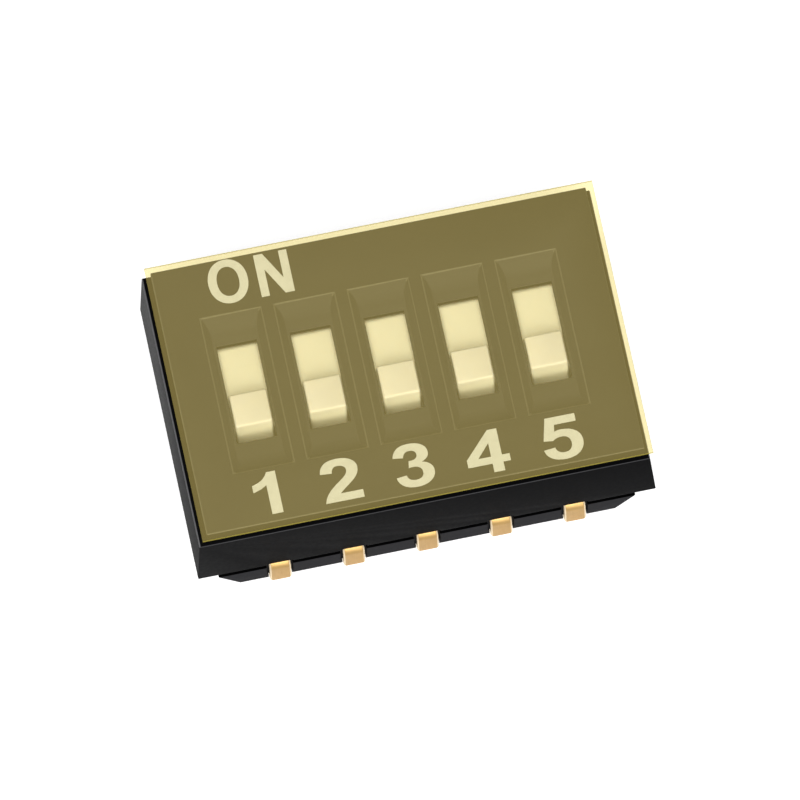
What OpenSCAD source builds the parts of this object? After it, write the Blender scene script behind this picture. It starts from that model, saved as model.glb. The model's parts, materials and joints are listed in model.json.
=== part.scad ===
// Slide switch row for surface mounting, on half the usual grid. A drafted cover with a scooped
// slot over each switch snaps on a base with terminals moulded into it. In each slot a slider
// carries a bridging contact from the OFF end to the ON end, and a film seals the top for
// soldering and washing. X runs along the row, +Y points to the ON side, and Z is up from the
// plane of the solder feet. All sliders are drawn at OFF.

/* [Row] */
// Number of switches in the row
switches = 5; // [2:1:12]
// Distance between neighbouring switches
pitch = 1.27; // [1.24:0.01:1.6]

/* [Cover] */
// Distance from the last slot's middle to the end of the cover, at its lower edge
cover_end = 1.405; // [1.3:0.005:2]
// Width of the cover from front to back, at its lower edge
cover_w = 5.07; // [4.9:0.01:6]
// Height of the outer wall from its lower edge to the ledge
cover_h = 1.325; // [1.2:0.005:1.8]
// Draft: how far the front and the back lean in over that height
cover_draft = 0.02; // [0:0.005:0.1]
// Draft of the two ends
end_draft = 0.075; // [0:0.005:0.12]
// Height of the plateau above the ledge
plateau_h = 0.32; // [0.25:0.01:0.5]
// Width of the ledge at the two ends of the row
ledge_x = 0.115; // [0.06:0.005:0.25]
// Width of the ledge along the front and the back
ledge_y = 0.07; // [0.02:0.005:0.15]
// How far off centre the plateau lies along the row
plateau_x = 0.035; // [0:0.005:0.06]
// Thickness from the plateau down to the ceiling of the channels
top_t = 0.26; // [0.24:0.01:0.5]
// Thickness of the wall at the front and back of the channels
wall_t = 0.46; // [0.4:0.01:0.6]
// Thickness of the skirt round the base's plug
skirt_t = 0.3; // [0.2:0.01:0.35]
// Thickness of the ribs between the channels
rib_t = 0.24; // [0.15:0.01:0.35]

/* [Slots] */
// Width of a slot at the plateau
slot_w = 1.04; // [0.9:0.01:1.2]
// Length of a slot at the plateau
slot_l = 2.9; // [2.6:0.01:3.6]
// Depth of a slot's floor below the plateau
slot_d = 0.17; // [0.1:0.01:0.25]
// How far each side of a slot leans in on its way down
slot_draft = 0.12; // [0:0.01:0.15]
// Radius of the scoop at each end of a slot
scoop_r = 0.4; // [0.25:0.01:0.6]
// Width of the window in a slot's floor
window_w = 0.69; // [0.66:0.01:0.75]
// Length of the window
window_l = 1.8; // [1.5:0.01:1.9]
// How far the window's middle lies to the ON side of the slot's
window_y = 0.05; // [0:0.01:0.1]

/* [Sliders] */
// Width of the knob
knob_w = 0.64; // [0.5:0.01:0.65]
// Length of the knob along its travel
knob_l = 0.6; // [0.4:0.01:0.7]
// How far the shoulder begins behind the knob's front
shoulder_set = 0.02; // [0:0.01:0.2]
// Depth of the knob's top below the sealing film
knob_drop = 0.06; // [0.03:0.01:0.12]
// Travel from OFF to ON
travel = 0.6; // [0.5:0.01:0.75]
// How far a slider still reaches past its window's end
window_lap = 0.05; // [0.02:0.01:0.1]
// Thickness of the slider's nose above its contact pocket
nose_t = 0.53; // [0.2:0.01:0.6]
// Chamfer on the upper edge of the nose and of the tail
slider_chamfer = 0.08; // [0.02:0.01:0.15]

/* [Bridging contacts] */
// Width of the contact strip
wiper_w = 0.34; // [0.2:0.01:0.5]
// Thickness of the contact strip
wiper_t = 0.06; // [0.03:0.01:0.08]
// Radius of the arch, at the middle of the strip
arch_r = 0.85; // [0.75:0.01:0.95]
// Angle from the top of the arch to its toes
arch_angle = 38; // [32:1:40]
// Radius of the rolled bead on each toe
toe_r = 0.07; // [0.06:0.005:0.09]

/* [Terminals] */
// Width of a terminal
lead_w = 0.37; // [0.25:0.01:0.6]
// Thickness of a terminal
lead_t = 0.12; // [0.08:0.01:0.15]
// Inside radius of a terminal's bends
lead_bend = 0.04; // [0.02:0.01:0.06]
// How far the terminals stand out past the cover's lower edge
lead_reach = 0.05; // [0:0.005:0.2]
// Length of the hook under the base, from the terminal's outer face
foot_l = 0.62; // [0.4:0.01:1]
// How far a pad reaches inward past the toe that rests on it
pad_lap = 0.14; // [0.1:0.01:0.2]
// Relief beside a terminal in the cover's lower edge and down the side of the base
lead_relief = 0.04; // [0.02:0.01:0.08]

/* [Base] */
// Height of the part of the base that shows under the cover
base_h = 0.56; // [0.4:0.005:0.9]
// How far the base's front and back stand in from the cover's lower edge
base_inset = 0.02; // [0.01:0.005:0.08]
// How far the base's ends stand in from the cover's, where they meet
base_end_inset = 0.22; // [0.05:0.005:0.3]
// Run of the sloping ends of the base, over its height
end_run = 0.49; // [0.1:0.01:0.8]
// Height of the contact floor above the cover's lower edge
floor_h = 0.025; // [0.02:0.005:0.1]
// Height of the stops at the ends of a slider's travel
stop_h = 0.4; // [0.2:0.01:0.6]
// Height of the shadow line between cover and base
parting_h = 0.15; // [0.05:0.01:0.25]
// Depth of the shadow line
parting_d = 0.12; // [0.03:0.01:0.15]
// Height of the sill that closes the relief beside a terminal
sill_h = 0.1; // [0.05:0.01:0.3]

/* [Latches] */
// Width of a latch tongue, front to back
latch_w = 1.6; // [0.8:0.1:2.4]
// Thickness of a latch tongue
latch_t = 0.16; // [0.12:0.01:0.2]
// Height of a latch tongue above the contact floor
latch_h = 0.62; // [0.4:0.01:0.7]
// How far a latch's barb stands out
barb_d = 0.1; // [0.06:0.01:0.14]
// Height of a latch's barb
barb_h = 0.2; // [0.1:0.01:0.3]

/* [Sealing film] */
// Thickness of the film
film_t = 0.05; // [0.03:0.01:0.1]
// How far the film laps past the front and the back of the plateau
film_lap = 0.1; // [0.02:0.005:0.15]
// How far the film laps past its two ends
film_end_lap = 0.11; // [0.02:0.005:0.15]
// How far off the plateau's middle the film was laid along the row
film_x = 0.02; // [0:0.01:0.03]
// How far off the plateau's middle it was laid across the row
film_y = -0.02; // [-0.02:0.01:0.02]

/* [Clearances] */
// Running clearance round a slider in its channel
run_clear = 0.04; // [0.02:0.01:0.06]
// Clearance of the base's plug, stops and latches inside the cover
fit_clear = 0.04; // [0.02:0.01:0.06]
// Gap under a slider, and between the terminals' feet and the base
slide_gap = 0.02; // [0.01:0.005:0.04]
// Gap between a bridging contact and what it bears on
touch_gap = 0.01; // [0.005:0.005:0.02]
// Clearance over a terminal's shank in the cover, and beside it at the sill
lead_clear = 0.015; // [0.01:0.005:0.04]

/* [Hidden] */
$fn = 64;

// Cutters run past the faces they cut by this much
over = 0.1;

// Heights of the levels above the solder plane
z_base = lead_t + slide_gap;
z_edge = z_base + base_h;
z_floor = z_edge + floor_h;
z_ledge = z_edge + cover_h;
z_top = z_ledge + plateau_h;
z_ceiling = z_top - top_t;
z_slot = z_top - slot_d;

// Plan of the cover
cover_l = (switches - 1) * pitch + 2 * cover_end;
plateau_l = cover_l - 2 * (end_draft + ledge_x);
plateau_w = cover_w - 2 * (cover_draft + ledge_y);
plug_l = cover_l - 2 * (skirt_t + fit_clear);
plug_w = cover_w - 2 * (skirt_t + fit_clear);
channel_w = pitch - rib_t;
channel_l = cover_w - 2 * wall_t;

// The scoops are arcs that run out level into the slot's floor
scoop_run = sqrt(2 * scoop_r * slot_d - slot_d * slot_d);
slot_flat = slot_l - 2 * scoop_run;

// A slider at OFF, along Y: its nose and tail cover the window at both ends of the travel
window_front = window_y - window_l / 2;
window_back = window_y + window_l / 2;
knob_back = (knob_l - travel) / 2;
nose_y = window_front - window_lap - travel;
tail_y = window_back + window_lap;
slider_mid = (nose_y + tail_y) / 2;
slider_w = channel_w - 2 * run_clear;

// The bridging contact: its toes ride on the contact floor, its arch bears on the pocket's ceiling
toe_y = arch_r * sin(arch_angle);
arch_z = toe_r - arch_r * cos(arch_angle);
wiper_h = arch_z + arch_r + wiper_t / 2;
wiper_z = z_floor + touch_gap;

// Levels of the slider
slider_z = z_floor + slide_gap;
pocket_z = wiper_z + wiper_h + touch_gap;
nose_z = pocket_z + nose_t;
shoulder_z = z_ceiling - slide_gap;
knob_z = z_top - knob_drop;

// The terminals: the front pad is always under its toe, the back pad only at ON
lead_y = cover_w / 2 + lead_reach;
lead_r = lead_bend + lead_t;
front_pad_end = -(slider_mid + travel - toe_y + pad_lap);
back_pad_end = slider_mid + travel + toe_y - pad_lap;

// The latches stand in pockets that core out the ends of the cover
core_in = (switches - 1) * pitch / 2 + channel_w / 2 + rib_t;
core_out = cover_l / 2 - skirt_t;
latch_x = core_out - fit_clear;
barb_z = z_floor + latch_h - barb_h;

function switch_x(i) = (i - (switches + 1) / 2) * pitch;

// Draws a profile in Y and Z out along X
module across(w) {
    rotate([90, 0, 90]) linear_extrude(w, center = true) children();
}

// Draws a profile in X and Z out along Y
module along(l) {
    rotate([90, 0, 0]) linear_extrude(l, center = true) children();
}

// A box centred on X and Y between two heights
module block(l, w, z0, z1) {
    translate([-l / 2, -w / 2, z0]) cube([l, w, z1 - z0]);
}

// ---- Cover ----

// Symmetric four-sided profile, wider or narrower at the top
module taper(bottom, top, z0, z1) {
    polygon([[-bottom / 2, z0], [bottom / 2, z0], [top / 2, z1], [-top / 2, z1]]);
}

module cover_shell() {
    intersection() {
        across(cover_l) taper(cover_w, cover_w - 2 * cover_draft, z_edge, z_ledge);
        along(cover_w) taper(cover_l, cover_l - 2 * end_draft, z_edge, z_ledge);
    }
    translate([plateau_x, 0, 0]) block(plateau_l, plateau_w, z_ledge - over, z_top);
}

// The scooped recess: a floor that sweeps up to the plateau at both ends, between leaning sides
module slot_recess() {
    rise = slot_d + over;
    spread = slot_draft * rise / slot_d;
    intersection() {
        across(slot_w + 2 * spread) intersection() {
            union() {
                translate([-slot_flat / 2, z_slot]) square([slot_flat, rise]);
                for (side = [-1, 1])
                    translate([side * slot_flat / 2, z_slot + scoop_r]) circle(scoop_r);
            }
            translate([-slot_l, z_slot]) square([2 * slot_l, rise]);
        }
        along(2 * slot_l)
            taper(slot_w - 2 * slot_draft, slot_w - 2 * slot_draft + 2 * spread, z_slot, z_top + over);
    }
}

module slot_and_channel() {
    slot_recess();
    translate([0, window_y, 0]) block(window_w, window_l, z_ceiling - over, z_slot + over);
    block(channel_w, channel_l, z_edge - over, z_ceiling);
    // Reliefs in the lower edge where the two terminals come out
    for (side = [-1, 1])
        translate([0, side * (cover_w / 2 - skirt_t / 2), 0])
            block(lead_w + 2 * lead_relief, skirt_t + over, z_edge - over, z_floor + lead_clear);
}

// Pocket at one end for a latch, with an undercut for its barb in the outer wall
module latch_pocket() {
    pocket_w = latch_w + 2 * fit_clear;
    pocket_top = z_floor + latch_h + fit_clear;
    translate([(core_in + core_out) / 2, 0, 0])
        block(core_out - core_in, pocket_w, z_edge - over, pocket_top);
    translate([core_out + (barb_d - over) / 2, 0, 0])
        block(barb_d + over, pocket_w, barb_z - slide_gap, pocket_top);
}

module cover() {
    color("#1d1d20") difference() {
        cover_shell();
        block(plug_l + 2 * fit_clear, plug_w + 2 * fit_clear, z_edge - over, z_floor + slide_gap);
        for (i = [1:switches])
            translate([switch_x(i), 0, 0]) slot_and_channel();
        for (end = [0, 1])
            mirror([end, 0, 0]) latch_pocket();
    }
}

// ---- Base ----

// Slab with sloping ends, and a rebate at front and back that leaves a shadow line under the cover
module slab() {
    slab_l = cover_l - 2 * base_end_inset;
    slab_w = cover_w - 2 * base_inset;
    difference() {
        along(slab_w) taper(slab_l - 2 * end_run, slab_l, z_base, z_edge);
        for (side = [-1, 1])
            translate([0, side * slab_w / 2, 0])
                block(slab_l + over, 2 * parting_d, z_edge - parting_h, z_edge + over);
    }
}

// Blocks that end a slider's travel, just clear of its nose at OFF and of its tail at ON
module travel_stops() {
    front_stop = nose_y - run_clear;
    back_stop = tail_y + travel + run_clear;
    end = channel_l / 2 - fit_clear;
    stop_w = channel_w - 2 * fit_clear;
    translate([-stop_w / 2, -end, z_floor]) cube([stop_w, front_stop + end, stop_h]);
    translate([-stop_w / 2, back_stop, z_floor]) cube([stop_w, end - back_stop, stop_h]);
}

// Tongue with a barb that snaps out under the cover's catch
module latch() {
    tip = z_floor + latch_h;
    along(latch_w) polygon([
        [latch_x - latch_t, z_floor],
        [latch_x, z_floor],
        [latch_x, barb_z],
        [latch_x + barb_d, barb_z],
        [latch_x, tip],
        [latch_x - latch_t, tip]
    ]);
}

// Room for a terminal's shank down the side of the base, wider above the sill
module shank_groove() {
    depth = lead_t + lead_reach + base_inset;
    translate([0, lead_y - lead_t - slide_gap + depth / 2, 0]) {
        block(lead_w + 2 * lead_clear, depth, z_base - over, z_edge);
        block(lead_w + 2 * lead_relief, depth, z_base + sill_h, z_edge);
    }
}

module base() {
    color("#3c3c3f") difference() {
        union() {
            slab();
            block(plug_l, plug_w, z_edge, z_floor);
            for (i = [1:switches])
                translate([switch_x(i), 0, 0]) travel_stops();
            for (end = [0, 1])
                mirror([end, 0, 0]) latch();
        }
        for (i = [1:switches])
            translate([switch_x(i), 0, 0]) {
                terminal_strip(back_pad_end);
                shank_groove();
                mirror([0, 1, 0]) {
                    terminal_strip(front_pad_end);
                    shank_groove();
                }
            }
    }
}

// ---- Terminals ----

// Everything inside the outer face of a strip, or with an inset of its thickness its inner face
module strip_outline(start, inset) {
    r = lead_r - inset;
    bend_y = lead_y - lead_r;
    low = inset;
    high = z_floor - inset;
    translate([start, low]) square([bend_y - start, high - low]);
    translate([start, low + r]) square([bend_y + r - start, high - low - 2 * r]);
    for (z = [low + r, high - r])
        translate([bend_y, z]) circle(r);
}

// One strip: pad in the contact floor, out through the skirt, down the side, and hooked under
module terminal_strip(pad_end) {
    across(lead_w) difference() {
        strip_outline(pad_end, 0);
        strip_outline(pad_end - over, lead_t);
        // Ends the hook
        translate([pad_end - over, -over])
            square([lead_y - foot_l - pad_end + over, lead_t + 2 * over]);
    }
}

module terminal_back(i) {
    color("#d4b07a") translate([switch_x(i), 0, 0]) terminal_strip(back_pad_end);
}

module terminal_front(i) {
    color("#d4b07a") translate([switch_x(i), 0, 0]) mirror([0, 1, 0]) terminal_strip(front_pad_end);
}

// ---- Sliders and their contacts ----

// One moulding: a carriage with a low nose, a shoulder under the window, and the knob on it
module slider(i) {
    knob_front = knob_back - knob_l;
    shoulder_front = knob_front + shoulder_set;
    pocket_l = 2 * (toe_y + toe_r + run_clear);
    color("#f2f2f4") translate([switch_x(i), 0, 0]) {
        difference() {
            across(slider_w) polygon([
                [nose_y, slider_z],
                [tail_y, slider_z],
                [tail_y, shoulder_z - slider_chamfer],
                [tail_y - slider_chamfer, shoulder_z],
                [shoulder_front, shoulder_z],
                [shoulder_front, nose_z],
                [nose_y + slider_chamfer, nose_z],
                [nose_y, nose_z - slider_chamfer]
            ]);
            translate([0, slider_mid, 0])
                block(wiper_w + 2 * run_clear, pocket_l, slider_z - over, pocket_z);
        }
        translate([-knob_w / 2, knob_front, nose_z - over])
            cube([knob_w, knob_l, knob_z - nose_z + over]);
    }
}

// Spring strip: an arch that ends in a rolled bead on each toe
module wiper(i) {
    reach = 2 * arch_r;
    color("#c9a15c") translate([switch_x(i), slider_mid, wiper_z + arch_z]) across(wiper_w) {
        intersection() {
            difference() {
                circle(arch_r + wiper_t / 2);
                circle(arch_r - wiper_t / 2);
            }
            polygon([
                [0, 0],
                reach * [sin(arch_angle), cos(arch_angle)],
                [0, reach],
                reach * [-sin(arch_angle), cos(arch_angle)]
            ]);
        }
        for (side = [-1, 1])
            translate(arch_r * [side * sin(arch_angle), cos(arch_angle)]) circle(toe_r);
    }
}

// ---- Sealing film ----

module seal_film() {
    color([0.93, 0.8, 0.45, 0.5]) translate([plateau_x + film_x, film_y, 0])
        block(plateau_l + 2 * film_end_lap, plateau_w + 2 * film_lap, z_top, z_top + film_t);
}

cover();
base();
seal_film();
for (i = [1:switches]) {
    slider(i);
    wiper(i);
    terminal_front(i);
    terminal_back(i);
}
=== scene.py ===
"""Finishes for a sealed row of slide switches: mouldings, gilt leads, printed legends and film."""

import json
import math

import bmesh
import bpy
from bpy.props import FloatProperty, FloatVectorProperty, PointerProperty
from mathutils import Matrix, Vector


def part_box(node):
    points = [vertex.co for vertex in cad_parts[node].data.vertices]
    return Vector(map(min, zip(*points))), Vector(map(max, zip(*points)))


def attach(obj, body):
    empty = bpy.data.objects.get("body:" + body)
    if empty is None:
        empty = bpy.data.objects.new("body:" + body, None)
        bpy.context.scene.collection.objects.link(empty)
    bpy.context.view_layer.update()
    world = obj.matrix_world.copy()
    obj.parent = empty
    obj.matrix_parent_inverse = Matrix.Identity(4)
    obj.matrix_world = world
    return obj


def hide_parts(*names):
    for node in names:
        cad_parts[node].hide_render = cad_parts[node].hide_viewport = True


bl_info = {
    "name": "Slide Switch Row",
    "version": (1, 0, 0),
    "blender": (4, 5, 0),
    "location": "3D View > Sidebar > Switch Row",
    "description": "Dresses a sealed row of slide switches and sets its stage",
    "category": "Object",
}

MM = 0.001
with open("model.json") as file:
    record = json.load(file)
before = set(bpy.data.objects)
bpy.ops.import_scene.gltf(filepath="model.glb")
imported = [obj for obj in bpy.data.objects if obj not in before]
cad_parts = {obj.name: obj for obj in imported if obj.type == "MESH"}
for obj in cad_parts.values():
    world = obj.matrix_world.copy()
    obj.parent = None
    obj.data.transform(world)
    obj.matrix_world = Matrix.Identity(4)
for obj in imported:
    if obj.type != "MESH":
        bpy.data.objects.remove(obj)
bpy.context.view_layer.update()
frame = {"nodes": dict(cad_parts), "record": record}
NODES = frame["nodes"]
BODY_OF = {
    node: body
    for body, members in frame["record"]["behaviour"]["bodies"].items()
    for node in members
}

# The plateau's level, and the point that the lamps are aimed at
PLATEAU_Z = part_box("cover")[1].z
MIDDLE = Vector((0, 0, PLATEAU_Z))
# How far the view's middle lies right of and above the plateau's middle, in millimetres
AIM = (0.089, -0.659, 0.0)
# What tells the cover's faces apart: the widest strip of a rounded edge, how deep the rims of the
# recesses and the recesses themselves go, and how deep the ledge lies below the plateau
EDGE_STRIP = 0.014 * MM
RIM_DEPTH = 0.03 * MM
RECESS_DEPTH = 0.175 * MM
LEDGE_DEPTH = 0.32 * MM
# A face leans back from upright where its normal points up by more than the first of these, and it
# is off level where its normal points up by less than the second
OFF_UPRIGHT = 0.05
OFF_LEVEL = 0.98
# Places of the cover's materials in its list, where the plain moulded one comes first: the eroded
# top painted lighter, the coarse recesses painted lighter still, and the rounded edges with a
# painted highlight
ERODED_PAINTED_LIGHTER, COARSE_PAINTED_LIGHTER, EDGE_PAINTED_HIGHLIGHT = 1, 2, 3
# A terminal's face belongs to a stamped, cut edge, which is painted paler as a highlight, where it
# leans along the row by more than this
SHEARED = 0.2
# Height of the rebate between the cover and the base, which is painted near black as shade
PARTING_HEIGHT = 0.155 * MM
# Two points of a solid are level where they are this close, and one point where they are closer
SAME = 0.001 * MM
WELD = 0.0001 * MM
# Faces that meet at less than the first angle are one, and edges over the second are rounded
FLAT_ANGLE = math.radians(0.5)
SHARP_ANGLE = math.radians(32)
# Half the side of the floor, and how strongly the world lights the row, as a share of white
FLOOR_REACH = 400 * MM
WORLD_LIGHT = 0.17
# What the floor adds to its own colour where it is looked at, so that it is seen white
FLOOR_GLOW = 0.5
# Nearly all of a noise's values lie in this range
NOISE_RANGE = {"From Min": 0.25, "From Max": 0.75}


def linear(code):
    """An sRGB hex colour as the linear values that Blender works in."""
    channels = [int(code[i : i + 2], 16) / 255 for i in (1, 3, 5)]
    return tuple(c / 12.92 if c <= 0.04045 else ((c + 0.055) / 1.055) ** 2.4 for c in channels)


WHITE = (*linear("#ffffff"), 1.0)


def in_mm(name, description, millimetres, **limits):
    """A length that a user can change, with its default in millimetres."""
    return FloatProperty(
        name=name, description=description, default=millimetres * MM, unit="LENGTH",
        precision=6, **limits,
    )


def in_hex(name, description, code):
    """A colour that a user can change, with its default as an sRGB hex code."""
    return FloatVectorProperty(
        name=name, description=description, default=linear(code), subtype="COLOR",
        min=0.0, max=1.0,
    )


# ---- Settings ----


class SwitchRowSizes(bpy.types.PropertyGroup):
    """Sizes of the finish that the solids don't hold."""

    moulded_edge: in_mm("Moulded edge", "Rounding of the housing's edges", 0.015, min=0.0)
    slider_edge: in_mm("Slider edge", "Rounding of the sliders' edges", 0.04, min=0.0)
    lead_edge: in_mm("Lead edge", "Rounding of the terminals' stamped edges", 0.045, min=0.0)
    spring_edge: in_mm("Spring edge", "Rounding of the spring strips' edges", 0.008, min=0.0)
    # Knob drop and knob rise also give the heights over which the sliders' painted shade runs
    knob_drop: in_mm("Knob drop", "Depth of the knobs' tops below the plateau", 0.06)
    knob_rise: in_mm("Knob rise", "Height of the knobs over the sliders' shoulders", 0.22)
    knob_lean: in_mm("Knob lean", "How far a knob's front face comes forward at its foot", 0.16)
    ink: in_mm("Ink", "Thickness of the printed legends", 0.002, min=0.0)
    adhesive: in_mm("Adhesive", "Glue line between plateau and film", 0.004, min=0.0)
    digit_line: in_mm("Digit line", "Where the numbers stand, across the row", -2.335)
    on_line: in_mm("ON line", "Where the letters stand, across the row", 1.615)
    digit_lean: FloatProperty(
        name="Digit lean", description="How far off parallel the line of numbers was printed",
        default=math.radians(-0.6), subtype="ANGLE",
    )
    view_width: in_mm("View width", "Width of the view at the object", 13.485, min=0.001)
    lens: FloatProperty(
        name="Lens", description="Focal length of the camera in millimetres", default=880.0
    )
    azimuth: FloatProperty(
        name="Azimuth", description="Turn of the camera to the row's left end",
        default=math.radians(7.83), subtype="ANGLE",
    )
    elevation: FloatProperty(
        name="Elevation", description="Height of the camera over the solder plane",
        default=math.radians(67.26), subtype="ANGLE",
    )
    roll: FloatProperty(
        name="Roll", description="Roll of the camera", default=math.radians(3.97),
        subtype="ANGLE",
    )


class SwitchRowColours(bpy.types.PropertyGroup):
    """Colours of the finishes."""

    cover: in_hex("Cover", "Black moulding compound", "#070708")
    # Painted light: the top is painted lighter than the black of the walls and the ledge, and its
    # eroded finish gives it only its rougher gloss
    top: in_hex("Top", "The same compound on the finely eroded top", "#38383a")
    # Painted light: the recesses are painted lighter still
    recesses: in_hex("Recesses", "The same compound in the coarsely eroded recesses", "#434345")
    # Painted highlight: the rounded edges are painted lighter still, as the gloss that they catch
    edges: in_hex("Edges", "The same compound on its rounded edges", "#505052")
    base: in_hex("Base", "Dark grey moulding compound", "#2f2f31")
    # Painted shade: the rebate is painted near black in place of the grey compound
    rebate: in_hex("Rebate", "The same compound in the rebate, where no light falls", "#050505")
    slider: in_hex("Slider", "White moulding compound", "#fcfbff")
    # Painted light and shade: the sliders are painted darker towards the knobs' tops, so that their
    # deeper faces show lighter
    painted_top_shade: in_hex("Handled", "The same compound where the knobs are touched", "#efeefc")
    gilt: in_hex("Gilt", "Gold flash on the terminals", "#b5945e")
    # Painted highlight: the terminals' cut sides are painted paler; only their rougher gloss comes
    # from the stamping
    sheared_and_highlit: in_hex("Sheared", "Gold flash on the terminals' sheared edges", "#e2cfae")
    film: in_hex("Film", "Milkiness of the film", "#edd887")
    slit: in_hex("Slit edge", "Milkiness of the film's slit edge", "#b3a64a")
    tint: in_hex("Tint", "What one face of the film lets through", "#fef9df")
    ink: in_hex("Ink", "Legend ink", "#dee3f0")
    floor: in_hex("Floor", "Floor", "#f4f4f4")


# ---- Materials ----


def new_material(name):
    """A material without nodes, and its node tree."""
    material = bpy.data.materials.new(name)
    material.use_nodes = True
    material.node_tree.nodes.clear()
    return material, material.node_tree


def add(tree, kind, inputs=None, **settings):
    """Adds a node, sets its properties and its inputs, and links inputs that are sockets."""
    node = tree.nodes.new(kind)
    for name, value in settings.items():
        setattr(node, name, value)
    for name, value in (inputs or {}).items():
        if isinstance(value, bpy.types.NodeSocket):
            tree.links.new(value, node.inputs[name])
        else:
            node.inputs[name].default_value = value
    return node


def grain(tree, size_mm, detail, stretch=(1, 1, 1)):
    """Noise in the object's own space whose lumps are about size_mm across."""
    place = add(tree, "ShaderNodeTexCoord").outputs["Object"]
    spread = add(tree, "ShaderNodeMapping", {"Vector": place, "Scale": stretch}).outputs["Vector"]
    return add(
        tree, "ShaderNodeTexNoise",
        {"Vector": spread, "Scale": 1 / (size_mm * MM), "Detail": detail},
    ).outputs["Fac"]


def shade(tree, noise, colour, low, high):
    """The colour made darker and lighter by a few per cent, after a noise."""
    share = add(
        tree, "ShaderNodeMapRange", {"Value": noise, **NOISE_RANGE, "To Min": 0.0, "To Max": 1.0}
    )
    return add(
        tree, "ShaderNodeMix",
        {
            "Factor": share.outputs["Result"],
            "A": tuple(min(1.0, c * low) for c in colour) + (1.0,),
            "B": tuple(min(1.0, c * high) for c in colour) + (1.0,),
        },
        data_type="RGBA",
    ).outputs["Result"]


def worked_face(tree, noise, rough, depth_mm):
    """Inputs of a shader for a face that a tool has left uneven: its roughness wanders between the
    two values of rough, and its bumps are depth_mm high."""
    low, high = rough
    gloss = add(
        tree, "ShaderNodeMapRange", {"Value": noise, **NOISE_RANGE, "To Min": low, "To Max": high}
    )
    relief = add(tree, "ShaderNodeBump", {"Height": noise, "Distance": depth_mm * MM})
    return {"Roughness": gloss.outputs["Result"], "Normal": relief.outputs["Normal"]}


def looked_at(tree):
    """One for the rays that show a surface, directly, in a gloss or through something clear."""
    path = add(tree, "ShaderNodeLightPath").outputs
    seen = add(
        tree, "ShaderNodeMath", {0: path["Is Camera Ray"], 1: path["Is Glossy Ray"]},
        operation="MAXIMUM",
    )
    return add(
        tree, "ShaderNodeMath", {0: seen.outputs[0], 1: path["Is Transmission Ray"]},
        operation="MAXIMUM",
    ).outputs[0]


def moulded_polymer(name, colour, specular, rough):
    """Glass-filled liquid crystal polymer from a spark-eroded mould: a dead, faintly speckled black
    that only shines where it is seen at a low angle."""
    material, tree = new_material(name)
    # The mould's pits are 0.02 to 0.03 mm across, and they are drawn coarser so that they show
    pits = grain(tree, size_mm=0.05, detail=2.0)
    flow = grain(tree, size_mm=0.5, detail=3.0, stretch=(0.4, 1, 1))
    shader = add(
        tree, "ShaderNodeBsdfPrincipled",
        {
            "Base Color": shade(tree, flow, colour, low=0.94, high=1.06),
            "Specular IOR Level": specular,
            **worked_face(tree, pits, rough, depth_mm=0.0001),
        },
    )
    add(tree, "ShaderNodeOutputMaterial", {"Surface": shader.outputs["BSDF"]})
    return material


def white_nylon(colour, painted_top_shade, low, high):
    """Nylon from a polished mould: white, with light bleeding through its edges and a low sheen.
    From one height to another it is painted darker towards the top, as painted shade that leaves
    the deeper faces lighter."""
    material, tree = new_material("white_nylon_moulded")
    # The marks of the mould's polish are far finer, and they are drawn coarser so that they show
    marks = grain(tree, size_mm=0.05, detail=3.0)
    flow = grain(tree, size_mm=0.4, detail=2.0)
    # Painted light and shade: from low to high the colour runs from the lighter one to the darker
    # one at the knobs' tops
    place = add(tree, "ShaderNodeTexCoord").outputs["Object"]
    height = add(tree, "ShaderNodeSeparateXYZ", {"Vector": place}).outputs["Z"]
    reach = add(tree, "ShaderNodeMapRange", {"Value": height, "From Min": low, "From Max": high})
    tint = add(
        tree, "ShaderNodeMix",
        {
            "Factor": reach.outputs["Result"],
            "A": shade(tree, flow, colour, low=0.98, high=1.02),
            "B": shade(tree, flow, painted_top_shade, low=0.98, high=1.02),
        },
        data_type="RGBA",
    )
    shader = add(
        tree, "ShaderNodeBsdfPrincipled",
        {
            "Base Color": tint.outputs["Result"],
            "Subsurface Weight": 1.0,
            "Subsurface Radius": (1.0, 0.95, 0.9),
            "Subsurface Scale": 0.03 * MM,
            "IOR": 1.53,
            "Specular IOR Level": 0.35,
            **worked_face(tree, marks, rough=(0.38, 0.5), depth_mm=0.0004),
        },
    )
    add(tree, "ShaderNodeOutputMaterial", {"Surface": shader.outputs["BSDF"]})
    return material


def gilt(name, colour, rough):
    """Gold flash over nickel on a rolled strip: satin, with faint rolling lines along the strip."""
    material, tree = new_material(name)
    # Rolling lines are a few thousandths of a millimetre apart, and are drawn coarser to show
    lines = grain(tree, size_mm=0.02, detail=2.0, stretch=(1, 0.08, 0.08))
    cloud = grain(tree, size_mm=0.15, detail=2.0)
    shader = add(
        tree, "ShaderNodeBsdfPrincipled",
        {
            "Base Color": shade(tree, cloud, colour, low=0.94, high=1.05),
            "Metallic": 1.0,
            **worked_face(tree, lines, rough, depth_mm=0.0005),
        },
    )
    add(tree, "ShaderNodeOutputMaterial", {"Surface": shader.outputs["BSDF"]})
    return material


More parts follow.
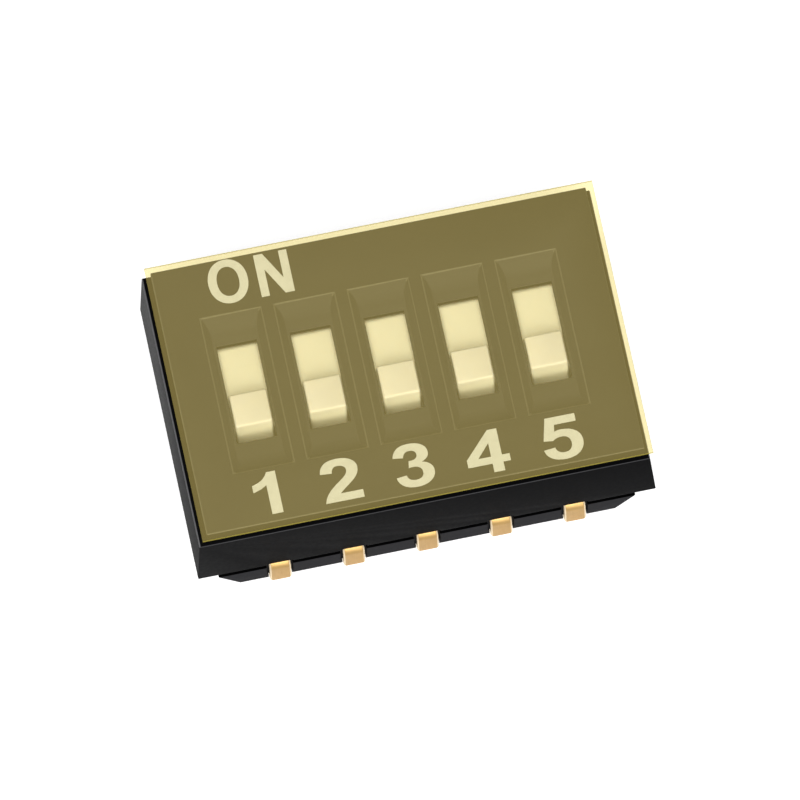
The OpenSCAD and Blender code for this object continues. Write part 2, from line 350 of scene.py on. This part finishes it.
def amber_film(name, colour, tint, milk):
    """Amber film, cast and slit: clear enough to read through, with an even warm milkiness, whose
    share of what is seen wanders between the two values of milk. Lamps and bounced light pass it
    unchanged, because it lies on what it covers."""
    material, tree = new_material(name)
    cloud = grain(tree, size_mm=1.2, detail=2.0)
    wave = add(tree, "ShaderNodeBump", {"Height": cloud, "Distance": 0.002 * MM})
    milky = add(
        tree, "ShaderNodeBsdfPrincipled",
        {
            "Base Color": (*colour, 1.0),
            "Roughness": 0.6,
            "Specular IOR Level": 0.0,
            "Normal": wave.outputs["Normal"],
        },
    )
    clear = add(tree, "ShaderNodeBsdfTransparent", {"Color": (*tint, 1.0)})
    low, high = milk
    share = add(
        tree, "ShaderNodeMapRange", {"Value": cloud, **NOISE_RANGE, "To Min": low, "To Max": high}
    )
    seen = add(
        tree, "ShaderNodeMixShader",
        {0: share.outputs["Result"], 1: clear.outputs["BSDF"], 2: milky.outputs["BSDF"]},
    )
    passing = add(tree, "ShaderNodeBsdfTransparent", {"Color": WHITE})
    path = add(tree, "ShaderNodeLightPath").outputs
    unseen = add(
        tree, "ShaderNodeMath", {0: path["Is Shadow Ray"], 1: path["Is Diffuse Ray"]},
        operation="MAXIMUM",
    )
    shader = add(
        tree, "ShaderNodeMixShader",
        {0: unseen.outputs[0], 1: seen.outputs[0], 2: passing.outputs["BSDF"]},
    )
    add(tree, "ShaderNodeOutputMaterial", {"Surface": shader.outputs[0]})
    return material


def pad_printed_ink(colour):
    """Two-part ink laid by a pad: flat and pale, a shade thinner in the middle of a stroke."""
    material, tree = new_material("legend_ink_pad_printed")
    blot = grain(tree, size_mm=0.12, detail=3.0)
    gloss = add(
        tree, "ShaderNodeMapRange", {"Value": blot, **NOISE_RANGE, "To Min": 0.55, "To Max": 0.7}
    )
    shader = add(
        tree, "ShaderNodeBsdfPrincipled",
        {
            "Base Color": shade(tree, blot, colour, low=0.93, high=1.04),
            "Roughness": gloss.outputs["Result"],
            "Specular IOR Level": 0.2,
        },
    )
    add(tree, "ShaderNodeOutputMaterial", {"Surface": shader.outputs["BSDF"]})
    return material


def matt_paper(colour):
    """Studio paper: even and matt. It is seen white, and it keeps the shadow."""
    material, tree = new_material("studio_paper")
    fibre = grain(tree, size_mm=0.6, detail=3.0)
    paper = add(
        tree, "ShaderNodeBsdfDiffuse",
        {"Color": shade(tree, fibre, colour, low=0.995, high=1.005), "Roughness": 1.0},
    )
    glow = add(tree, "ShaderNodeEmission", {"Color": WHITE, "Strength": FLOOR_GLOW})
    both = add(tree, "ShaderNodeAddShader", {0: paper.outputs["BSDF"], 1: glow.outputs["Emission"]})
    shader = add(
        tree, "ShaderNodeMixShader",
        {0: looked_at(tree), 1: paper.outputs["BSDF"], 2: both.outputs[0]},
    )
    add(tree, "ShaderNodeOutputMaterial", {"Surface": shader.outputs[0]})
    return material


# ---- Pieces ----


def new_object(name, bm, *materials):
    """An object in the scene from bm, which is used up, with its materials in order."""
    mesh = bpy.data.meshes.new(name)
    bm.to_mesh(mesh)
    bm.free()
    piece = bpy.data.objects.new(name, mesh)
    bpy.context.scene.collection.objects.link(piece)
    for material in materials:
        mesh.materials.append(material)
    return piece


def apply_modifiers(piece):
    """Leaves the piece with the mesh that its modifiers make."""
    depsgraph = bpy.context.evaluated_depsgraph_get()
    mesh = bpy.data.meshes.new_from_object(piece.evaluated_get(depsgraph))
    old = piece.data
    piece.modifiers.clear()
    piece.data = mesh
    bpy.data.meshes.remove(old)


def settle(piece, node):
    """The piece stands for the solid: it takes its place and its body."""
    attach(piece, BODY_OF[node])
    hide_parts(node)


def eased_copy(node, materials, radius, segments, clamp=True, shape=None):
    """A copy of a solid with every sharp edge rounded over, once shape has been applied to it."""
    bm = bmesh.new()
    bm.from_mesh(NODES[node].data)
    bmesh.ops.remove_doubles(bm, verts=bm.verts, dist=WELD)
    bmesh.ops.dissolve_limit(
        bm, angle_limit=FLAT_ANGLE, verts=bm.verts, edges=bm.edges, delimit={"NORMAL"}
    )
    if shape:
        shape(bm)
    for face in bm.faces:
        face.smooth = True
    piece = new_object(f"{node}_dressed", bm, *materials)
    rounding = piece.modifiers.new("edges", "BEVEL")
    rounding.width = radius
    rounding.segments = segments
    rounding.limit_method = "ANGLE"
    rounding.angle_limit = SHARP_ANGLE
    rounding.use_clamp_overlap = clamp
    rounding.harden_normals = True
    apply_modifiers(piece)
    settle(piece, node)
    return piece


def lean_knob_front(bm, reach):
    """Brings the foot of a knob's front face forward, which is the draft of its mould."""
    top = max(vert.co.z for vert in bm.verts)
    front = min(vert.co.y for vert in bm.verts if vert.co.z > top - SAME)
    face = [vert for vert in bm.verts if abs(vert.co.y - front) < SAME]
    foot = min(vert.co.z for vert in face)
    for vert in face:
        if vert.co.z < foot + SAME:
            vert.co.y -= reach


def sort_cover_faces(cover):
    """Gives the cover's top, its recesses and its rounded edges their own roughness, and paints
    them lighter than the moulded black: painted light on the top and the recesses, and painted
    highlights on the edges, dimmer on the ledge's front and back edges.
    """
    mesh = cover.data
    for face in mesh.polygons:
        depth = PLATEAU_Z - face.center.z
        run = max(
            (mesh.vertices[a].co - mesh.vertices[b].co).length for a, b in face.edge_keys
        )
        slim = face.area < EDGE_STRIP * run and OFF_UPRIGHT < face.normal.z < OFF_LEVEL
        # Painted highlights on the rounded edges round the top and the recesses
        if slim and depth < RIM_DEPTH:
            face.material_index = EDGE_PAINTED_HIGHLIGHT
        elif slim and LEDGE_DEPTH < depth < LEDGE_DEPTH + RIM_DEPTH:
            # The ledge's left and right edges take the brighter painted highlight, its front and
            # back edges the top's colour
            face.material_index = EDGE_PAINTED_HIGHLIGHT if abs(face.normal.x) > abs(face.normal.y) else ERODED_PAINTED_LIGHTER
        # The top and the recesses are painted lighter than the moulded black
        elif depth < RECESS_DEPTH and face.normal.z > OFF_UPRIGHT:
            face.material_index = ERODED_PAINTED_LIGHTER if depth < SAME else COARSE_PAINTED_LIGHTER


def sort_base_faces(base):
    """Paints shade on the rebate under the cover's lower edge: its faces take the near-black
    material.
    """
    edge_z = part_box("cover")[0].z
    for face in base.data.polygons:
        if edge_z - PARTING_HEIGHT < face.center.z < edge_z:
            face.material_index = 1


# Strokes are outlines in hundredths of a millimetre from a character's lower left corner. A
# straight run ends in two numbers, and a curve in six: two handles and its end.
LETTERS = {
    "1": [[(24, 0), (43, 0), (43, 77), (28, 77), (22, 64, 12, 60, 0, 57), (0, 44),
           (8, 45.5, 17, 49, 24, 54)]],
    "2": [[(0, 0), (66, 0), (66, 14), (28, 14), (40, 27, 64.5, 36, 64.5, 56),
           (64.5, 68.5, 52, 77.5, 32, 77.5), (13, 77.5, 1.5, 70, 0, 54), (20, 52.5),
           (20.5, 60, 24.5, 64.3, 31, 64.3), (39.5, 64.3, 45, 60.5, 45, 54),
           (45, 38, 6, 30, 0, 0)]],
    "3": [[(0, 58.5), (3, 73, 13, 80, 30, 80), (49, 80, 60.5, 71.5, 60.5, 59.5),
           (60.5, 52, 56, 46.5, 47, 43.5), (59, 41, 65.5, 34, 65.5, 24.5),
           (65.5, 10, 52, 0, 32, 0), (14, 0, 1.5, 8, 0, 22), (17.5, 24),
           (18.5, 16.5, 23.5, 13, 32, 13), (41, 13, 46, 17, 46, 24.5),
           (46, 33, 40, 37, 31, 37), (28.5, 37, 26, 36.8, 23.5, 36), (25.5, 48.8),
           (36, 48.3, 41, 52, 41, 58), (41, 63.5, 37, 67, 30, 67),
           (23.5, 67, 19, 63.5, 17.5, 56)]],
    "4": [[(41.5, 0), (60, 0), (60, 16), (73, 16), (73, 29), (60, 29), (60, 78), (44, 78),
           (0, 30), (0, 16), (41.5, 16)],
          [(19.5, 29), (41.5, 54.5), (41.5, 29)]],
    "5": [[(12, 79), (63, 79), (63, 65), (25.5, 65), (23.5, 52.5), (27, 54, 31, 54.5, 35, 54.5),
           (55, 54.5, 68.5, 45, 68.5, 28.5), (68.5, 11.5, 55, 0, 34, 0),
           (15, 0, 2, 7.5, 0, 22), (19.5, 24), (20.5, 16.5, 26, 12.5, 34, 12.5),
           (43, 12.5, 48.5, 18, 48.5, 27), (48.5, 36.5, 43, 41.5, 34.5, 41.5),
           (28, 41.5, 23, 40, 18, 36.3), (2.5, 38.5)]],
    "O": [[(34, 81), (53.5, 81, 68, 65, 68, 40.5), (68, 16, 53.5, 0, 34, 0),
           (14.5, 0, 0, 16, 0, 40.5), (0, 65, 14.5, 81, 34, 81)],
          [(34, 67.5), (23, 67.5, 15, 57.5, 15, 40.5), (15, 23.5, 23, 13.5, 34, 13.5),
           (45, 13.5, 53, 23.5, 53, 40.5), (53, 57.5, 45, 67.5, 34, 67.5)]],
    "N": [[(0, 0), (14, 0), (14, 49), (41, 0), (57, 0), (57, 78), (43, 78), (43, 28),
           (15.5, 78), (0, 78)]],
}
# Where each character starts along the row, in millimetres from the row's middle
STARTS = {"1": -2.803, "2": -1.645, "3": -0.393, "4": 0.823, "5": 2.132, "O": -2.803, "N": -1.96}


def outline_curve(curve, stroke, start, line):
    """Adds one closed outline to a flat curve."""
    unit = 0.01 * MM
    spline = curve.splines.new("BEZIER")
    spline.use_cyclic_u = True

    def where(x, y):
        return Vector((start + x * unit, line + y * unit, 0))

    closed = stroke[0][-2:] == stroke[-1][-2:]
    ends = stroke[:-1] if closed else stroke
    spline.bezier_points.add(len(ends) - 1)
    points = spline.bezier_points
    for point, step in zip(points, ends):
        point.handle_left_type = point.handle_right_type = "FREE"
        point.co = where(*step[-2:])
    for i, point in enumerate(points):
        following = points[(i + 1) % len(ends)]
        step = stroke[(i + 1) % len(stroke)]
        if len(step) == 6:
            point.handle_right = where(*step[0:2])
            following.handle_left = where(*step[2:4])
        else:
            point.handle_right = point.co.lerp(following.co, 1 / 3)
            following.handle_left = following.co.lerp(point.co, 1 / 3)


def printed_legend(name, character, line, thickness, material):
    """One printed character lying on the plateau."""
    curve = bpy.data.curves.new(name, "CURVE")
    curve.dimensions = "2D"
    curve.fill_mode = "BOTH"
    curve.resolution_u = 10
    curve.extrude = thickness / 2
    for stroke in LETTERS[character]:
        outline_curve(curve, stroke, STARTS[character] * MM, line)
    drawn = bpy.data.objects.new(name + "_curve", curve)
    bpy.context.scene.collection.objects.link(drawn)
    depsgraph = bpy.context.evaluated_depsgraph_get()
    mesh = bpy.data.meshes.new_from_object(drawn.evaluated_get(depsgraph))
    bpy.data.objects.remove(drawn)
    bpy.data.curves.remove(curve)
    mesh.transform(Matrix.Translation((0, 0, PLATEAU_Z + thickness / 2)))
    mesh.materials.clear()
    mesh.materials.append(material)
    piece = bpy.data.objects.new(name, mesh)
    bpy.context.scene.collection.objects.link(piece)
    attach(piece, BODY_OF["cover"])


# ---- Operators ----


class SWITCHROW_OT_housing(bpy.types.Operator):
    """Dresses the cover and the base"""

    bl_idname = "switchrow.housing"
    bl_label = "Housing"

    def execute(self, context):
        sizes, colours = context.scene.switch_row_sizes, context.scene.switch_row_colours
        *black, grey, rebate_painted_shade = (
            moulded_polymer(name, surface_colour, specular, rough)
            for name, surface_colour, specular, rough in (
                ("black_lcp_moulded", colours.cover, 0.014, (0.42, 0.52)),
                # Painted light: the eroded top and the recesses are painted lighter than the
                # moulded black
                ("black_lcp_spark_eroded_painted_lighter", colours.top, 0.1, (0.58, 0.62)),
                ("black_lcp_coarsely_eroded_painted_lighter", colours.recesses, 0.1, (0.58, 0.62)),
                # Painted highlight: the rounded edges are painted lighter still
                ("black_lcp_edge_painted_highlight", colours.edges, 0.4, (0.35, 0.45)),
                ("grey_lcp_moulded", colours.base, 0.03, (0.7, 0.8)),
                # Painted shade: the rebate is painted near black
                ("grey_lcp_painted_rebate_shade", colours.rebate, 0.0, (0.8, 0.9)),
            )
        )
        cover = eased_copy("cover", black, sizes.moulded_edge, segments=3)
        sort_cover_faces(cover)
        base = eased_copy("base", [grey, rebate_painted_shade], sizes.moulded_edge / 2, segments=2)
        sort_base_faces(base)
        return {"FINISHED"}


class SWITCHROW_OT_terminals(bpy.types.Operator):
    """Dresses the terminals"""

    bl_idname = "switchrow.terminals"
    bl_label = "Terminals"

    def execute(self, context):
        sizes, colours = context.scene.switch_row_sizes, context.scene.switch_row_colours
        finishes = [
            gilt("gold_flash_on_rolled_face", colours.gilt, rough=(0.38, 0.48)),
            gilt("gold_flash_on_sheared_edge_painted_highlight", colours.sheared_and_highlit, rough=(0.45, 0.55)),
        ]
        for node in NODES:
            if node.startswith("terminal_"):
                terminal = eased_copy(node, finishes, sizes.lead_edge, segments=4, clamp=False)
                # The cut sides of each strip take the paler gold, a painted highlight
                for face in terminal.data.polygons:
                    face.material_index = 1 if abs(face.normal.x) > SHEARED else 0
        return {"FINISHED"}


class SWITCHROW_OT_sliders(bpy.types.Operator):
    """Dresses the sliders and their bridging contacts"""

    bl_idname = "switchrow.sliders"
    bl_label = "Sliders"

    def execute(self, context):
        sizes, colours = context.scene.switch_row_sizes, context.scene.switch_row_colours
        # The sliders are painted darker from the foot of the knobs up to their tops, as painted
        # shade
        painted_darkest = PLATEAU_Z - sizes.knob_drop
        nylon = white_nylon(colours.slider, colours.painted_top_shade, painted_darkest - sizes.knob_rise, painted_darkest)
        spring = gilt("gold_flash_on_bronze_spring", colours.gilt, rough=(0.2, 0.3))
        for node in NODES:
            if node.startswith("slider_"):
                eased_copy(
                    node, [nylon], sizes.slider_edge, segments=3,
                    shape=lambda bm: lean_knob_front(bm, sizes.knob_lean),
                )
            if node.startswith("wiper_"):
                eased_copy(node, [spring], sizes.spring_edge, segments=2)
        return {"FINISHED"}


class SWITCHROW_OT_legends(bpy.types.Operator):
    """Prints ON and the numbers on the plateau"""

    bl_idname = "switchrow.legends"
    bl_label = "Legends"

    def execute(self, context):
        sizes, colours = context.scene.switch_row_sizes, context.scene.switch_row_colours
        ink = pad_printed_ink(colours.ink)
        for character in LETTERS:
            line = sizes.on_line
            if character.isdigit():
                line = sizes.digit_line + math.tan(sizes.digit_lean) * STARTS[character] * MM
            printed_legend(f"legend_{character}", character, line, sizes.ink, ink)
        return {"FINISHED"}


class SWITCHROW_OT_film(bpy.types.Operator):
    """Lays the sealing film over the plateau"""

    bl_idname = "switchrow.film"
    bl_label = "Sealing film"

    def execute(self, context):
        sizes, colours = context.scene.switch_row_sizes, context.scene.switch_row_colours
        clear = amber_film("amber_film_cast", colours.film, colours.tint, milk=(0.107, 0.111))
        edge = amber_film("amber_film_slit_edge", colours.slit, colours.tint, milk=(0.5, 0.6))
        low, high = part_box("seal_film")
        low.z += sizes.adhesive
        bm = bmesh.new()
        bmesh.ops.create_cube(bm, size=1.0)
        bmesh.ops.transform(
            bm, verts=bm.verts,
            matrix=Matrix.Translation((low + high) / 2) @ Matrix.Diagonal((*(high - low), 1.0)),
        )
        for face in bm.faces:
            face.material_index = 0 if abs(face.normal.z) > OFF_UPRIGHT else 1
        piece = new_object("seal_film_dressed", bm, clear, edge)
        settle(piece, "seal_film")
        return {"FINISHED"}


class SWITCHROW_OT_stage(bpy.types.Operator):
    """Sets the floor, the lamps, the world and the camera"""

    bl_idname = "switchrow.stage"
    bl_label = "Stage"

    def execute(self, context):
        sizes, colours = context.scene.switch_row_sizes, context.scene.switch_row_colours
        scene = context.scene
        scene.view_settings.view_transform = "Standard"

        bm = bmesh.new()
        bmesh.ops.create_grid(bm, x_segments=8, y_segments=8, size=FLOOR_REACH)
        floor = new_object("floor", bm, matt_paper(colours.floor))

        world = bpy.data.worlds.new("studio")
        world.use_nodes = True
        tree = world.node_tree
        tree.nodes.clear()
        soft, white = (
            add(tree, "ShaderNodeBackground", {"Color": WHITE, "Strength": strength})
            for strength in (WORLD_LIGHT, 1.0)
        )
        mixed = add(
            tree, "ShaderNodeMixShader",
            {0: looked_at(tree), 1: soft.outputs[0], 2: white.outputs[0]},
        )
        add(tree, "ShaderNodeOutputWorld", {"Surface": mixed.outputs[0]})
        scene.world = world

        lamp("key", place_mm=(-17, -92, 179), size_mm=240, watts=0.486)
        lamp("front", place_mm=(0, -180, 90), size_mm=160, watts=0.146)
        camera(sizes)
        return {"FINISHED"}


def lamp(name, place_mm, size_mm, watts):
    """A square soft box aimed at the row."""
    light = bpy.data.lights.new(name, "AREA")
    light.size = size_mm * MM
    light.energy = watts
    holder = bpy.data.objects.new(name, light)
    holder.location = Vector(place_mm) * MM
    holder.rotation_euler = (MIDDLE - holder.location).to_track_quat("-Z", "Y").to_euler()
    bpy.context.scene.collection.objects.link(holder)


def camera(sizes):
    """A long lens far off, so that the row's edges stay nearly parallel."""
    lens = bpy.data.cameras.new("camera")
    lens.lens = sizes.lens
    away = Vector((
        -math.sin(sizes.azimuth) * math.cos(sizes.elevation),
        -math.cos(sizes.azimuth) * math.cos(sizes.elevation),
        math.sin(sizes.elevation),
    ))
    right = Vector((math.cos(sizes.azimuth), -math.sin(sizes.azimuth), 0))
    up = away.cross(right)
    turn = Matrix((right, up, away)).transposed() @ Matrix.Rotation(-sizes.roll, 3, "Z")
    distance = sizes.view_width * sizes.lens / lens.sensor_width
    lens.clip_start = distance / 10
    lens.clip_end = distance * 10
    aim = MIDDLE + turn @ Vector(AIM) * MM
    holder = bpy.data.objects.new("camera", lens)
    holder.matrix_world = Matrix.Translation(aim + away * distance) @ turn.to_4x4()
    bpy.context.scene.collection.objects.link(holder)
    bpy.context.scene.camera = holder


class SWITCHROW_PT_panel(bpy.types.Panel):
    """Lists the steps that dress the row"""

    bl_idname = "SWITCHROW_PT_panel"
    bl_label = "Switch Row"
    bl_space_type = "VIEW_3D"
    bl_region_type = "UI"
    bl_category = "Switch Row"

    def draw(self, context):
        for group in (context.scene.switch_row_sizes, context.scene.switch_row_colours):
            for name in group.__annotations__:
                self.layout.prop(group, name)
        for step in STEPS:
            self.layout.operator(step.bl_idname)


STEPS = (
    SWITCHROW_OT_housing,
    SWITCHROW_OT_terminals,
    SWITCHROW_OT_sliders,
    SWITCHROW_OT_legends,
    SWITCHROW_OT_film,
    SWITCHROW_OT_stage,
)
CLASSES = (SwitchRowSizes, SwitchRowColours, *STEPS, SWITCHROW_PT_panel)


def register():
    for cls in CLASSES:
        bpy.utils.register_class(cls)
    bpy.types.Scene.switch_row_sizes = PointerProperty(type=SwitchRowSizes)
    bpy.types.Scene.switch_row_colours = PointerProperty(type=SwitchRowColours)


def unregister():
    del bpy.types.Scene.switch_row_sizes
    del bpy.types.Scene.switch_row_colours
    for cls in reversed(CLASSES):
        bpy.utils.unregister_class(cls)


def main():
    register()
    for step in STEPS:
        group, name = step.bl_idname.split(".")
        getattr(getattr(bpy.ops, group), name)()


if __name__ == "__main__":
    main()
